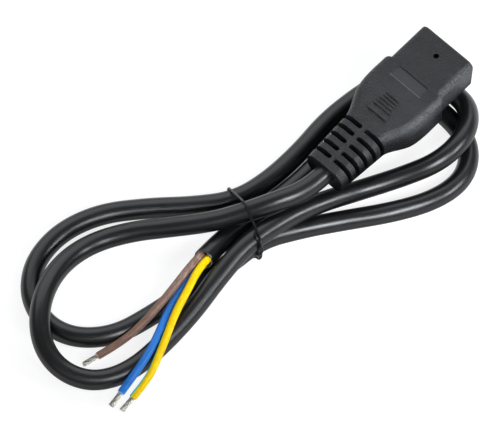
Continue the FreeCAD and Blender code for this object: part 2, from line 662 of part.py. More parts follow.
def middle_line(i):
    """Point of the middle line after i steps, and the direction away from the strands."""
    s = (first_run + second_run + third_run) * i / STEPS
    if s < first_run:
        a = math.radians(62) - s / PAIR_3
        return s3[0] + PAIR_3 * math.cos(a), s3[1] + PAIR_3 * math.sin(a), a
    if s < first_run + second_run:
        f = (s - first_run) / second_run
        return one[0] + (two[0] - one[0]) * f, one[1] + (two[1] - one[1]) * f, flank
    a = flank - (s - first_run - second_run) / PAIR_4
    return s4[0] + PAIR_4 * math.cos(a), s4[1] + PAIR_4 * math.sin(a), a


def twisted(phase):
    """Corners of one twisted end: an eighth of a turn at each step."""
    out = []
    for i in range(STEPS + 1):
        u, v, away = middle_line(i)
        a = phase + i * math.pi / 4
        r = HELIX * math.sin(a) - (0.35 if i == 0 else 0.15 if i == 1 else 0.0)
        out.append(tuple(spot(u + r * math.cos(away), v + r * math.sin(away), BEFORE + HELIX * math.cos(a))))
    return out


# One end comes over the top, turns down the side and is cut off low; the other
# comes from below, goes up the side and is cut off on top.
half_way = (p23[0] * 0.3 + p32[0] * 0.7, p23[1] * 0.3 + p32[1] * 0.7)
down, _, _ = bends([tuple(spot(*half_way)), tuple(spot(*p32))] + twisted(0.0) + [tuple(spot(15.0, 0.72, -2.4))])
over = math.radians(86)
cut_end = spot(s3[0] + s3[2] * math.cos(over), s3[1] + s3[2] * math.sin(over), -1.2)
upward, _, _ = bends([tuple(cut_end)] + twisted(math.pi) + [tuple(spot(13.2, low[1])), tuple(spot(*low))])
ring = upward + [round_strand(s1, low, p12), Part.LineSegment(spot(*p12), spot(*p21)).toShape(),
                 round_strand(s2, p21, p23), Part.LineSegment(spot(*p23), spot(*half_way)).toShape()] + down
tie_coat = feature("tie_coating", tube(ring, V["tie_radius"], V["tie_core_radius"]))
tie_coat.Label = "tie_coating"
tie_wire = feature("tie_wire", tube(ring, V["tie_core_radius"]))
tie_wire.Label = "tie_wire"

# ======================================================================= output
doc.recompute()
nodes = [overmould, carrier, rear_cap, jacket, tie_coat, tie_wire]
nodes += list(contacts.values()) + list(insulations.values()) + list(conductors.values())
for obj in doc.Objects:
    bad = [word for word in obj.State if word in ("Invalid", "Error")]
    if bad:
        raise RuntimeError("%s failed: %s" % (obj.Name, bad))
os.makedirs("parts", exist_ok=True)
for node in nodes:
    shape = node.Shape
    if shape.isNull() or not shape.isValid():
        raise RuntimeError("%s has no valid shape" % node.Label)
    box = shape.BoundBox
    print("%-20s solids %d volume %9.1f box %s" % (node.Label, len(shape.Solids), shape.Volume, tuple(
        round(v, 2) for v in (box.XMin, box.YMin, box.ZMin, box.XMax, box.YMax, box.ZMax))))
    shape.exportStep("parts/%s.step" % node.Label)
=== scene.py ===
"""C19 connector lead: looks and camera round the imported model.

Everything is in metres in the model's own frame: origin at the centre of the
mating face, +Y the way the connector is pushed on, +Z up. The surface that the
lead lies on is at Z = -23.5 mm.
"""
import math

import bpy  # noqa: E402
import numpy as np  # noqa: E402
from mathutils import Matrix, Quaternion, Vector  # noqa: E402


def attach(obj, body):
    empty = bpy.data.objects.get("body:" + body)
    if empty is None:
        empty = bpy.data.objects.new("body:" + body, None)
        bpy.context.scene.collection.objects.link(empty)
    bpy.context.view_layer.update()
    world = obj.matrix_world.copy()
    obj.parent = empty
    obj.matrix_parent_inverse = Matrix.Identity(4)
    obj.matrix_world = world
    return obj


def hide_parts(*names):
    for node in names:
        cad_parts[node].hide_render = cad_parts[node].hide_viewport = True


MM = 0.001
FLOOR = -23.5 * MM

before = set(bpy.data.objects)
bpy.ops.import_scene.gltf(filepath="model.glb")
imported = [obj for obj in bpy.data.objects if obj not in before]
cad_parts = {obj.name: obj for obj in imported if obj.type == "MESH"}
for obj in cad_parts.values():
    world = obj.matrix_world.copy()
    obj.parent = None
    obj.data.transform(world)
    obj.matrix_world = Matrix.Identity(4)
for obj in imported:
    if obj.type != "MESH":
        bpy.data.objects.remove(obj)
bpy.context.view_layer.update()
scene = bpy.context.scene
scene.view_settings.view_transform = "Standard"
scene.view_settings.look = "None"
scene.view_settings.exposure = 0.0

# ---------------------------------------------------------------------- camera
AZIMUTH, ELEVATION = math.radians(43.0), math.radians(62.8)
PX_PER_MM = 2.343
DISTANCE = 8.0
right = Vector((math.cos(AZIMUTH), math.sin(AZIMUTH), 0))
back = Vector((math.sin(AZIMUTH) * math.cos(ELEVATION), -math.cos(AZIMUTH) * math.cos(ELEVATION),
               math.sin(ELEVATION)))
up = back.cross(right)
target = right * ((250 - 449.2) / PX_PER_MM * MM) + up * ((54.5 - 221) / PX_PER_MM * MM)
target += back * 0.012

data = bpy.data.cameras.new("camera")
data.sensor_width = 36.0
data.lens = 36.0 * DISTANCE / (500 / PX_PER_MM * MM)
data.clip_start, data.clip_end = 0.1, 50.0
camera = bpy.data.objects.new("camera", data)
scene.collection.objects.link(camera)
camera.location = target + back * (DISTANCE + 0.014)
camera.rotation_mode = "QUATERNION"
camera.rotation_quaternion = (-back).to_track_quat("-Z", "Y")
scene.camera = camera

# ----------------------------------------------------------------------- cords
# The routes' control points, as in the model's source, in millimetres.
ROUTE = [
    (0, -78, 0), (0, -89, 0), (-7.1, -103, -1), (-15.2, -114.3, -6.4), (-22.6, -124.3, -9.3),
    (-34.4, -136.5, -12.4), (-47.3, -149.3, -15.6), (-56.6, -165.4, -17),
    (-57.2, -183.2, -12.9), (-50.9, -200.7, -9.1), (-40.8, -212.7, -10.3),
    (-30, -217.7, -13.5), (-18.8, -216.6, -16.4), (-9, -209.9, -18.4), (-2.4, -196.6, -18.8),
    (-0.8, -178.6, -17.4), (-1.1, -159.4, -14.6), (-3.2, -140.9, -11), (-4.3, -122.5, -8.4),
    (-1, -102.9, -8.7), (3.7, -84.9, -12.3), (10.7, -67.7, -16.2), (19.7, -53.1, -13.8),
    (30.3, -37, -6.5), (29.4, -20, -6.3), (19.6, -7.8, -12.8), (6.3, -4.8, -18),
    (-3.2, -5.8, -19), (-11.2, -10.1, -19), (-17.9, -18.3, -19), (-21.5, -34.4, -19),
    (-23, -51.8, -19), (-21.3, -69.6, -18.9), (-21.1, -88.4, -18), (-24.8, -106.9, -17.6),
    (-37.1, -121.4, -18.5), (-50.8, -135, -18.7), (-63.2, -150.2, -18.6),
    (-69.8, -167.7, -18.7), (-68.7, -184.8, -18.9), (-61.5, -196.9, -19), (-51.1, -203.3, -19),
    (-39.3, -204.3, -19), (-27.9, -199.2, -19), (-18.5, -187.4, -19), (-13.9, -170.5, -18.9),
    (-10.9, -151.6, -19), (-7, -132.3, -19), (-4.6, -113.2, -17.4), (4, -97, -19),
    (15, -81.3, -19), (27, -66.5, -17.6), (37.3, -49.7, -16.2), (39.4, -35, -17.4),
    (34.8, -23.8, -18.5), (25.1, -16.4, -19), (7.6, -14.3, -19), (-3.7, -19, -17.7),
    (-11.8, -29.9, -16.9), (-13, -47.8, -17.7), (-11.9, -65.5, -18.8), (-11.7, -84.5, -18.9),
    (-14, -103.8, -18.4), (-16.2, -122.8, -16.9), (-13.3, -139.6, -9.9),
]
TAILS = {
    "line": [
        (-16.68, -130.28, -12.82), (-13.99, -145.9, -6.31), (-12.4, -157.4, -6.7),
        (-11.8, -168.6, -9.6), (-12.1, -179.6, -13.1), (-13.9, -190.6, -16.2),
        (-17.91, -200.87, -19.49),
    ],
    "neutral": [
        (-14.76, -131.12, -15.62), (-12.07, -146.74, -9.11), (-10, -157.5, -9.9),
        (-7.5, -168, -10.9), (-3.5, -177.9, -11.2), (-0.1, -187.8, -11.6),
        (1.6, -197.9, -13.5), (2, -207.5, -17.6),
    ],
    "earth": [
        (-13.24, -129.68, -12.82), (-10.54, -145.31, -6.31), (-7.1, -155.7, -7),
        (-4.3, -166.1, -8.5), (-0.2, -175.9, -10.4), (3.6, -185.6, -12.8),
        (6.7, -195.2, -16.1), (6.6, -205.1, -19.6),
    ],
}
CABLE_R, CORE_R, WIRE_R, TIP = 4.5 * MM, 1.73 * MM, 1.05 * MM, 7.2 * MM


def nurbs(name, points, depth=0.0):
    """One open NURBS spline of order 3 through the route's control points."""
    curve = bpy.data.curves.new(name, "CURVE")
    curve.dimensions = "3D"
    curve.resolution_u = 10
    spline = curve.splines.new("NURBS")
    spline.points.add(len(points) - 1)
    for point, place in zip(spline.points, points):
        point.co = (*[c * MM for c in place], 1.0)
    spline.order_u = 3
    spline.use_endpoint_u = True
    curve.bevel_depth = depth
    return bpy.data.objects.new(name, curve)


def read(curve):
    """The curve's own line, as points in metres."""
    mesh = bpy.data.meshes.new_from_object(curve)
    line = [Vector(v.co) for v in mesh.vertices]
    bpy.data.meshes.remove(mesh)
    keep = [line[0]]
    for p in line[1:]:
        if (p - keep[-1]).length > 1e-6:
            keep.append(p)
    return keep


def even(line, step):
    """The same line with points an even step apart."""
    gaps = [(b - a).length for a, b in zip(line, line[1:])]
    total = sum(gaps)
    count = max(2, int(round(total / step)) + 1)
    along = np.concatenate([[0.0], np.cumsum(gaps)])
    co = np.array([tuple(p) for p in line])
    want = np.linspace(0, total, count)
    out = np.stack([np.interp(want, along, co[:, i]) for i in range(3)], axis=1)
    return [Vector(p) for p in out], want


def frames(line, first=None):
    """A frame at each point, carried along the line without twist."""
    tangents = []
    for i in range(len(line)):
        a, b = line[max(0, i - 1)], line[min(len(line) - 1, i + 1)]
        tangents.append((b - a).normalized())
    n = first if first is not None else Vector((0, 0, 1))
    n = (n - tangents[0] * n.dot(tangents[0])).normalized()
    out = []
    for i, t in enumerate(tangents):
        if i:
            n = tangents[i - 1].rotation_difference(t) @ n
            n = (n - t * n.dot(t)).normalized()
        out.append((t, n, t.cross(n)))
    return out


def tube_mesh(name, line, profile, sides, close_start=True, close_end=True, along=None):
    """A tube of rings: profile(i, s, angle) gives the radius, and the UV map
    holds the way round (0 to 1) and the way along in metres."""
    fr = frames(line)
    if along is None:
        along = [0.0]
        for a, b in zip(line, line[1:]):
            along.append(along[-1] + (b - a).length)
    verts, faces, uvs = [], [], []
    for i, (p, (t, n, b)) in enumerate(zip(line, fr)):
        for k in range(sides):
            a = 2 * math.pi * k / sides
            r = profile(i, along[i], a)
            verts.append(p + (n * math.cos(a) + b * math.sin(a)) * r)
    for i in range(len(line) - 1):
        for k in range(sides):
            q = (k + 1) % sides
            faces.append((i * sides + k, i * sides + q, (i + 1) * sides + q, (i + 1) * sides + k))
            u0, u1 = k / sides, (k + 1) / sides
            uvs += [(u0, along[i]), (u1, along[i]), (u1, along[i + 1]), (u0, along[i + 1])]
    for closed, row, order in ((close_start, 0, -1), (close_end, len(line) - 1, 1)):
        if closed:
            ring = [row * sides + k for k in range(sides)][::order]
            centre = len(verts)
            verts.append(line[row])
            for k in range(sides):
                faces.append((ring[k], ring[(k + 1) % sides], centre))
                uvs += [(0.0, along[row])] * 3
    mesh = bpy.data.meshes.new(name)
    mesh.from_pydata([tuple(v) for v in verts], [], faces)
    layer = mesh.uv_layers.new(name="UVMap")
    layer.data.foreach_set("uv", np.array(uvs, np.float32).ravel())
    mesh.shade_smooth()
    mesh.update()
    return mesh


def place(name, mesh, *materials):
    obj = bpy.data.objects.new(name, mesh)
    scene.collection.objects.link(obj)
    for material in materials:
        mesh.materials.append(material)
    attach(obj, "root")
    return obj


# ------------------------------------------------------------------- materials
def material(name):
    made = bpy.data.materials.new(name)
    made.use_nodes = True
    tree = made.node_tree
    tree.nodes.clear()
    out = tree.nodes.new("ShaderNodeOutputMaterial")
    shader = tree.nodes.new("ShaderNodeBsdfPrincipled")
    tree.links.new(shader.outputs[0], out.inputs[0])
    return made, tree, shader


def node(tree, kind, **settings):
    made = tree.nodes.new(kind)
    for key, value in settings.items():
        if key in made.inputs:
            made.inputs[key].default_value = value
        else:
            setattr(made, key, value)
    return made


def noise(tree, vector, scale, detail=3.0, rough=0.5):
    made = node(tree, "ShaderNodeTexNoise", Scale=scale, Detail=detail, Roughness=rough)
    tree.links.new(vector, made.inputs["Vector"])
    return made.outputs["Fac"]


def ramp(tree, value, stops, smooth=False):
    made = tree.nodes.new("ShaderNodeValToRGB")
    made.color_ramp.interpolation = "EASE" if smooth else "LINEAR"
    while len(made.color_ramp.elements) < len(stops):
        made.color_ramp.elements.new(0.5)
    for element, (at, colour) in zip(made.color_ramp.elements, stops):
        element.position = at
        element.color = (*colour, 1.0) if len(colour) == 3 else colour
    tree.links.new(value, made.inputs["Fac"])
    return made.outputs["Color"]


def span(tree, value, a, b, lo, hi):
    """Maps a value from a..b to lo..hi."""
    made = node(tree, "ShaderNodeMapRange")
    made.clamp = True
    for key, number in (("From Min", a), ("From Max", b), ("To Min", lo), ("To Max", hi)):
        made.inputs[key].default_value = number
    tree.links.new(value, made.inputs["Value"])
    return made.outputs["Result"]


def bump(tree, shader, height, strength, distance, before=None):
    made = node(tree, "ShaderNodeBump", Strength=strength, Distance=distance)
    tree.links.new(height, made.inputs["Height"])
    if before is not None:
        tree.links.new(before, made.inputs["Normal"])
    tree.links.new(made.outputs["Normal"], shader.inputs["Normal"])
    return made.outputs["Normal"]


def grey(v):
    """A cool near-black."""
    return (v * 0.94, v, v * 1.12)


def dull_below(tree, shader, low, high):
    """Sides and undersides, which handling polishes least, shine less."""
    facing = tree.nodes.new("ShaderNodeTexCoord").outputs["Normal"]
    parts = tree.nodes.new("ShaderNodeSeparateXYZ")
    tree.links.new(facing, parts.inputs[0])
    tree.links.new(span(tree, parts.outputs["Z"], 0.02, 0.5, low, high), shader.inputs["Specular IOR Level"])


def moulded(name, low, high, rough_lo, rough_hi, grain, depth, strength, soft=0.0, gloss=0.3, panel=False):
    """Black moulded plastic: eroded fine grain, slow changes of tone, soft edges.
    With a panel, the floor of the recessed label is smoother and a little lighter."""
    made, tree, shader = material(name)
    dull_below(tree, shader, gloss * 0.15, gloss)
    edge = None
    if soft:
        rounder = node(tree, "ShaderNodeBevel", Radius=soft)
        rounder.samples = 6
        edge = rounder.outputs["Normal"]
    where = tree.nodes.new("ShaderNodeTexCoord").outputs["Object"]
    if panel:
        # The long edges of the body and nose are softer than the small details.
        across = tree.nodes.new("ShaderNodeSeparateXYZ")
        tree.links.new(where, across.inputs[0])
        size = node(tree, "ShaderNodeMath", operation="ABSOLUTE")
        tree.links.new(across.outputs["X"], size.inputs[0])
        tree.links.new(span(tree, size.outputs[0], 0.0100, 0.0125, soft, 0.0030), rounder.inputs["Radius"])
    fine = noise(tree, where, grain, 2.0, 0.6)
    slow = noise(tree, where, 120.0, 3.0, 0.55)
    tone = ramp(tree, slow, [(0.3, grey(low)), (0.7, grey(high))])
    if panel:
        speck = span(tree, noise(tree, where, 1700.0, 1.0, 0.5), 0.68, 0.78, 0.0, 1.0)
        dust = node(tree, "ShaderNodeMix", data_type="RGBA")
        tree.links.new(speck, dust.inputs[0])
        tree.links.new(tone, dust.inputs[6])
        dust.inputs[7].default_value = (0.045, 0.047, 0.050, 1.0)
        tone = dust.outputs[2]
        axes = tree.nodes.new("ShaderNodeSeparateXYZ")
        tree.links.new(where, axes.inputs[0])
        mask = None
        for axis, middle, half in (("X", 0.0, 0.0085), ("Y", -0.0247, 0.0027), ("Z", 0.0099, 0.0003)):
            near = node(tree, "ShaderNodeMath", operation="COMPARE")
            tree.links.new(axes.outputs[axis], near.inputs[0])
            near.inputs[1].default_value = middle
            near.inputs[2].default_value = half
            if mask is not None:
                both = node(tree, "ShaderNodeMath", operation="MULTIPLY")
                tree.links.new(mask, both.inputs[0])
                tree.links.new(near.outputs[0], both.inputs[1])
                mask = both.outputs[0]
            else:
                mask = near.outputs[0]
        lift = node(tree, "ShaderNodeMix", data_type="RGBA")
        tree.links.new(mask, lift.inputs[0])
        tree.links.new(tone, lift.inputs[6])
        lift.inputs[7].default_value = (*grey(high * 1.4), 1.0)
        tone = lift.outputs[2]
        # Painted highlight: a thin paler line along the panel's rear edge, where its rounded rim would catch the
        # light.
        painted_rim_highlight = None
        for axis, middle, half in (("X", 0.0, 0.0088), ("Y", -0.02765, 0.00018), ("Z", 0.0110, 0.0010)):
            near = node(tree, "ShaderNodeMath", operation="COMPARE")
            tree.links.new(axes.outputs[axis], near.inputs[0])
            near.inputs[1].default_value = middle
            near.inputs[2].default_value = half
            if painted_rim_highlight is not None:
                both = node(tree, "ShaderNodeMath", operation="MULTIPLY")
                tree.links.new(painted_rim_highlight, both.inputs[0])
                tree.links.new(near.outputs[0], both.inputs[1])
                painted_rim_highlight = both.outputs[0]
            else:
                painted_rim_highlight = near.outputs[0]
        line = node(tree, "ShaderNodeMix", data_type="RGBA")
        tree.links.new(painted_rim_highlight, line.inputs[0])
        tree.links.new(tone, line.inputs[6])
        # The painted highlight colour of the rim line.
        line.inputs[7].default_value = (0.075, 0.079, 0.086, 1.0)
        tone = line.outputs[2]
        # Painted highlight: the upper part of the right side, whose normals face the right-hand light, is made paler
        # in a sparkling grain.
        leaning = tree.nodes.new("ShaderNodeSeparateXYZ")
        tree.links.new(edge, leaning.inputs[0])
        aside = span(tree, leaning.outputs["X"], 0.22, 0.60, 0.0, 1.0)
        upper = span(tree, axes.outputs["Z"], -0.0005, 0.0065, 0.0, 1.0)
        flat_side = node(tree, "ShaderNodeMath", operation="MULTIPLY")
        tree.links.new(span(tree, axes.outputs["Y"], -0.0225, -0.0200, 0.0, 1.0), flat_side.inputs[0])
        tree.links.new(span(tree, axes.outputs["Z"], -0.0090, -0.0010, 0.0, 0.75), flat_side.inputs[1])
        higher = node(tree, "ShaderNodeMath", operation="MAXIMUM")
        tree.links.new(upper, higher.inputs[0])
        tree.links.new(flat_side.outputs[0], higher.inputs[1])
        upper = higher.outputs[0]
        ahead = span(tree, axes.outputs["Y"], -0.046, -0.034, 0.25, 1.0)
        glints = span(tree, noise(tree, where, 1100.0, 2.0, 0.6), 0.38, 0.66, 0.25, 1.0)
        painted_edge_sheen = aside
        for other in (upper, ahead, glints):
            both = node(tree, "ShaderNodeMath", operation="MULTIPLY")
            tree.links.new(painted_edge_sheen, both.inputs[0])
            tree.links.new(other, both.inputs[1])
            painted_edge_sheen = both.outputs[0]
        paler = node(tree, "ShaderNodeMix", data_type="RGBA")
        tree.links.new(painted_edge_sheen, paler.inputs[0])
        tree.links.new(tone, paler.inputs[6])
        # The painted highlight colour of the right edges.
        paler.inputs[7].default_value = (0.088, 0.092, 0.098, 1.0)
        tone = paler.outputs[2]
        # Painted shade: the flanks behind the shoulder are darker towards the underside.
        low_down = span(tree, axes.outputs["Z"], 0.0015, 0.0065, 0.85, 0.0)
        behind = span(tree, axes.outputs["Y"], -0.036, -0.028, 1.0, 0.0)
        flank_shade = node(tree, "ShaderNodeMath", operation="MULTIPLY")
        tree.links.new(low_down, flank_shade.inputs[0])
        tree.links.new(behind, flank_shade.inputs[1])
        flank_shade_mix = node(tree, "ShaderNodeMix", data_type="RGBA")
        tree.links.new(flank_shade.outputs[0], flank_shade_mix.inputs[0])
        tree.links.new(tone, flank_shade_mix.inputs[6])
        # The painted shade colour of the lower flanks.
        flank_shade_mix.inputs[7].default_value = (0.0030, 0.0032, 0.0036, 1.0)
        tone = flank_shade_mix.outputs[2]
        less = span(tree, mask, 0.0, 1.0, 1.0, 0.25)
        weaker = node(tree, "ShaderNodeMath", operation="MULTIPLY")
        tree.links.new(fine, weaker.inputs[0])
        tree.links.new(less, weaker.inputs[1])
        fine = weaker.outputs[0]
        # Painted shade: the slots of the strain relief are darkened down to their floors.
        square = []
        for axis in ("X", "Z"):
            times = node(tree, "ShaderNodeMath", operation="MULTIPLY")
            tree.links.new(axes.outputs[axis], times.inputs[0])
            tree.links.new(axes.outputs[axis], times.inputs[1])
            square.append(times.outputs[0])
        total = node(tree, "ShaderNodeMath", operation="ADD")
        tree.links.new(square[0], total.inputs[0])
        tree.links.new(square[1], total.inputs[1])
        root = node(tree, "ShaderNodeMath", operation="SQRT")
        tree.links.new(total.outputs[0], root.inputs[0])
        deep = span(tree, root.outputs[0], 0.0050, 0.0064, 1.0, 0.0)
        inside = node(tree, "ShaderNodeMath", operation="COMPARE")
        tree.links.new(axes.outputs["Y"], inside.inputs[0])
        inside.inputs[1].default_value = -0.0654
        inside.inputs[2].default_value = 0.0122
        slot_shade_mask = node(tree, "ShaderNodeMath", operation="MULTIPLY")
        tree.links.new(deep, slot_shade_mask.inputs[0])
        tree.links.new(inside.outputs[0], slot_shade_mask.inputs[1])
        shade = node(tree, "ShaderNodeMix", data_type="RGBA")
        tree.links.new(slot_shade_mask.outputs[0], shade.inputs[0])
        tree.links.new(tone, shade.inputs[6])
        # The painted shade colour inside the slots.
        shade.inputs[7].default_value = (0.0015, 0.0015, 0.0018, 1.0)
        tone = shade.outputs[2]
        # Painted shade also darkens the walls of the small blind hole in the nose.
        apart = []
        for axis, middle in (("X", 0.0), ("Y", -0.00805)):
            off = node(tree, "ShaderNodeMath", operation="SUBTRACT")
            tree.links.new(axes.outputs[axis], off.inputs[0])
            off.inputs[1].default_value = middle
            times = node(tree, "ShaderNodeMath", operation="MULTIPLY")
            tree.links.new(off.outputs[0], times.inputs[0])
            tree.links.new(off.outputs[0], times.inputs[1])
            apart.append(times.outputs[0])
        ring = node(tree, "ShaderNodeMath", operation="ADD")
        tree.links.new(apart[0], ring.inputs[0])
        tree.links.new(apart[1], ring.inputs[1])
        within = span(tree, ring.outputs[0], 0.0000016, 0.0000018, 1.0, 0.0)
        below = span(tree, axes.outputs["Z"], 0.0098, 0.0101, 1.0, 0.0)
        hole_shade_mask = node(tree, "ShaderNodeMath", operation="MULTIPLY")
        tree.links.new(within, hole_shade_mask.inputs[0])
        tree.links.new(below, hole_shade_mask.inputs[1])
        hole_shade = node(tree, "ShaderNodeMix", data_type="RGBA")
        tree.links.new(hole_shade_mask.outputs[0], hole_shade.inputs[0])
        tree.links.new(tone, hole_shade.inputs[6])
        # The painted shade colour inside the hole.
        hole_shade.inputs[7].default_value = (0.0015, 0.0015, 0.0018, 1.0)
        tone = hole_shade.outputs[2]
        either = node(tree, "ShaderNodeMath", operation="MAXIMUM")
        tree.links.new(slot_shade_mask.outputs[0], either.inputs[0])
        tree.links.new(hole_shade_mask.outputs[0], either.inputs[1])
        left = span(tree, either.outputs[0], 0.0, 1.0, 1.0, 0.08)
        for a, b, lo, hi in ((-0.034, -0.022, 1.28, 1.0), (-0.054, -0.048, 0.78, 1.0)):
            more = node(tree, "ShaderNodeMath", operation="MULTIPLY")
            tree.links.new(left, more.inputs[0])
            tree.links.new(span(tree, axes.outputs["Y"], a, b, lo, hi), more.inputs[1])
            left = more.outputs[0]
        matt = node(tree, "ShaderNodeMath", operation="MULTIPLY")
        tree.links.new(left, matt.inputs[0])
        tree.links.new(span(tree, flank_shade.outputs[0], 0.0, 1.0, 1.0, 0.3), matt.inputs[1])
        lower = node(tree, "ShaderNodeMath", operation="MULTIPLY")
        tree.links.new(matt.outputs[0], lower.inputs[0])
        tree.links.new(span(tree, axes.outputs["Z"], -0.006, 0.003, 0.2, 1.0), lower.inputs[1])
        duller = node(tree, "ShaderNodeMath", operation="MULTIPLY")
        tree.links.new(shader.inputs["Specular IOR Level"].links[0].from_socket, duller.inputs[0])
        tree.links.new(lower.outputs[0], duller.inputs[1])
        tree.links.new(duller.outputs[0], shader.inputs["Specular IOR Level"])
    tree.links.new(tone, shader.inputs["Base Color"])
    tree.links.new(span(tree, slow, 0.3, 0.7, rough_lo, rough_hi), shader.inputs["Roughness"])
    bump(tree, shader, fine, strength, depth, edge)
    return made


def jacket_material():
    """Black PVC jacket: drawn streaks along the cable, small nicks, faint haze."""
    made, tree, shader = material("jacket_black")
    dull_below(tree, shader, 0.08, 0.5)
    uv = tree.nodes.new("ShaderNodeTexCoord").outputs["UV"]
    stretch = node(tree, "ShaderNodeMapping")
    stretch.inputs["Scale"].default_value = (9.0, 45.0, 1.0)
    tree.links.new(uv, stretch.inputs["Vector"])
    streak = noise(tree, stretch.outputs["Vector"], 1.6, 3.0, 0.55)
    where = tree.nodes.new("ShaderNodeTexCoord").outputs["Object"]
    grain = noise(tree, where, 2600.0, 2.0, 0.6)
    slow = noise(tree, where, 90.0, 3.0, 0.6)
    nick = noise(tree, where, 700.0, 1.0, 0.4)
    tree.links.new(ramp(tree, slow, [(0.3, grey(0.0035)), (0.72, grey(0.006))]), shader.inputs["Base Color"])
    rough = span(tree, streak, 0.3, 0.7, 0.27, 0.36)
    tree.links.new(rough, shader.inputs["Roughness"])
    first = bump(tree, shader, streak, 0.25, 0.00008)
    spots = span(tree, nick, 0.74, 0.8, 0.0, 1.0)
    second = bump(tree, shader, spots, 0.5, 0.00006, first)
    bump(tree, shader, grain, 0.10, 0.00003, second)
    return made


def cut_material():
    """The cut rim of the jacket: matt, dusty grey on black."""
    made, tree, shader = material("jacket_cut")
    where = tree.nodes.new("ShaderNodeTexCoord").outputs["Object"]
    grain = noise(tree, where, 2200.0, 3.0, 0.6)
    tree.links.new(ramp(tree, grain, [(0.35, grey(0.05)), (0.65, grey(0.17))]), shader.inputs["Base Color"])
    shader.inputs["Roughness"].default_value = 0.7
    bump(tree, shader, grain, 0.4, 0.0001)
    return made


def core_material(name, dark, light, dust, stripe=None, gloss=0.5):
    """Insulation: soft satin colour, talc streaks near the jacket, and for the
    earth core a green stripe that winds slowly along it."""
    made, tree, shader = material(name)
    shader.inputs["Specular IOR Level"].default_value = gloss
    uv = tree.nodes.new("ShaderNodeTexCoord").outputs["UV"]
    parts = tree.nodes.new("ShaderNodeSeparateXYZ")
    tree.links.new(uv, parts.inputs[0])
    where = tree.nodes.new("ShaderNodeTexCoord").outputs["Object"]
    slow = noise(tree, where, 260.0, 3.0, 0.55)
    colour = ramp(tree, slow, [(0.3, dark), (0.7, light)])
    if stripe is not None:
        middle, half, twist, tint = stripe
        turn = node(tree, "ShaderNodeMath", operation="MULTIPLY_ADD")
        tree.links.new(parts.outputs["Y"], turn.inputs[0])
        turn.inputs[1].default_value = twist
        tree.links.new(parts.outputs["X"], turn.inputs[2])
        wave = node(tree, "ShaderNodeMath", operation="PINGPONG")
        shift = node(tree, "ShaderNodeMath", operation="SUBTRACT")
        tree.links.new(turn.outputs[0], shift.inputs[0])
        shift.inputs[1].default_value = middle
        tree.links.new(shift.outputs[0], wave.inputs[0])
        wave.inputs[1].default_value = 0.5
        inside = span(tree, wave.outputs[0], half - 0.008, half + 0.008, 1.0, 0.0)
        mix = node(tree, "ShaderNodeMix", data_type="RGBA")
        tree.links.new(inside, mix.inputs[0])
        tree.links.new(colour, mix.inputs[6])
        mix.inputs[7].default_value = (*tint, 1.0)
        colour = mix.outputs[2]
    stretch = node(tree, "ShaderNodeMapping")
    stretch.inputs["Scale"].default_value = (7.0, 260.0, 1.0)
    tree.links.new(uv, stretch.inputs["Vector"])
    streak = noise(tree, stretch.outputs["Vector"], 1.5, 4.0, 0.65)
    near = span(tree, parts.outputs["Y"], 0.004, 0.034, 1.0, 0.0)
    patch = span(tree, streak, 0.50, 0.68, 0.0, dust)
    both = node(tree, "ShaderNodeMath", operation="MULTIPLY")
    tree.links.new(near, both.inputs[0])
    tree.links.new(patch, both.inputs[1])
    mix = node(tree, "ShaderNodeMix", data_type="RGBA")
    tree.links.new(both.outputs[0], mix.inputs[0])
    tree.links.new(colour, mix.inputs[6])
    mix.inputs[7].default_value = (0.55, 0.52, 0.50, 1.0)
    tree.links.new(mix.outputs[2], shader.inputs["Base Color"])
    tree.links.new(span(tree, streak, 0.3, 0.7, 0.34, 0.5), shader.inputs["Roughness"])
    fine = noise(tree, where, 3000.0, 2.0, 0.5)
    bump(tree, shader, fine, 0.12, 0.00003)
    return made


def metal(name, dark, light, rough, scale, strength):
    made, tree, shader = material(name)
    where = tree.nodes.new("ShaderNodeTexCoord").outputs["Object"]
    slow = noise(tree, where, scale, 3.0, 0.6)
    tree.links.new(ramp(tree, slow, [(0.35, dark), (0.65, light)]), shader.inputs["Base Color"])
    shader.inputs["Metallic"].default_value = 1.0
    tree.links.new(span(tree, slow, 0.3, 0.7, rough - 0.06, rough + 0.08), shader.inputs["Roughness"])
    bump(tree, shader, slow, strength, 0.00005)
    return made


OVERMOULD = moulded("overmould_black", 0.0105, 0.017, 0.34, 0.42, 1150.0, 0.00055, 1.0, 0.00022, 0.34, True)
CARRIER = moulded("carrier_black", 0.012, 0.018, 0.36, 0.44, 3200.0, 0.00003, 0.25)
JACKET = jacket_material()
CUT = cut_material()
TIE = moulded("tie_black", 0.004, 0.007, 0.34, 0.42, 3000.0, 0.00003, 0.3)
BROWN = core_material("core_brown", (0.172, 0.095, 0.067), (0.235, 0.137, 0.100), 0.5, gloss=0.3)
BLUE = core_material("core_blue", (0.011, 0.140, 0.49), (0.018, 0.175, 0.60), 0.25, gloss=0.3)
YELLOW = core_material("core_green_yellow", (0.77, 0.515, 0.0), (0.88, 0.60, 0.0), 0.0,
                       (0.524, 0.16, 4.25, (0.04, 0.75, 0.56)), 0.15)
EDGES = {
    "line": core_material("core_brown_edge", (0.60, 0.40, 0.31), (0.72, 0.50, 0.40), 0.0),
    "neutral": core_material("core_blue_edge", (0.12, 0.42, 0.85), (0.16, 0.48, 0.90), 0.0),
    "earth": core_material("core_yellow_edge", (0.76, 0.56, 0.03), (0.86, 0.64, 0.05), 0.0,
                           (0.524, 0.16, 4.25, (0.10, 0.78, 0.60)), 0.15),
}
TINNED = metal("tinned_strands", (0.47, 0.45, 0.40), (0.80, 0.78, 0.72), 0.36, 1100.0, 0.5)
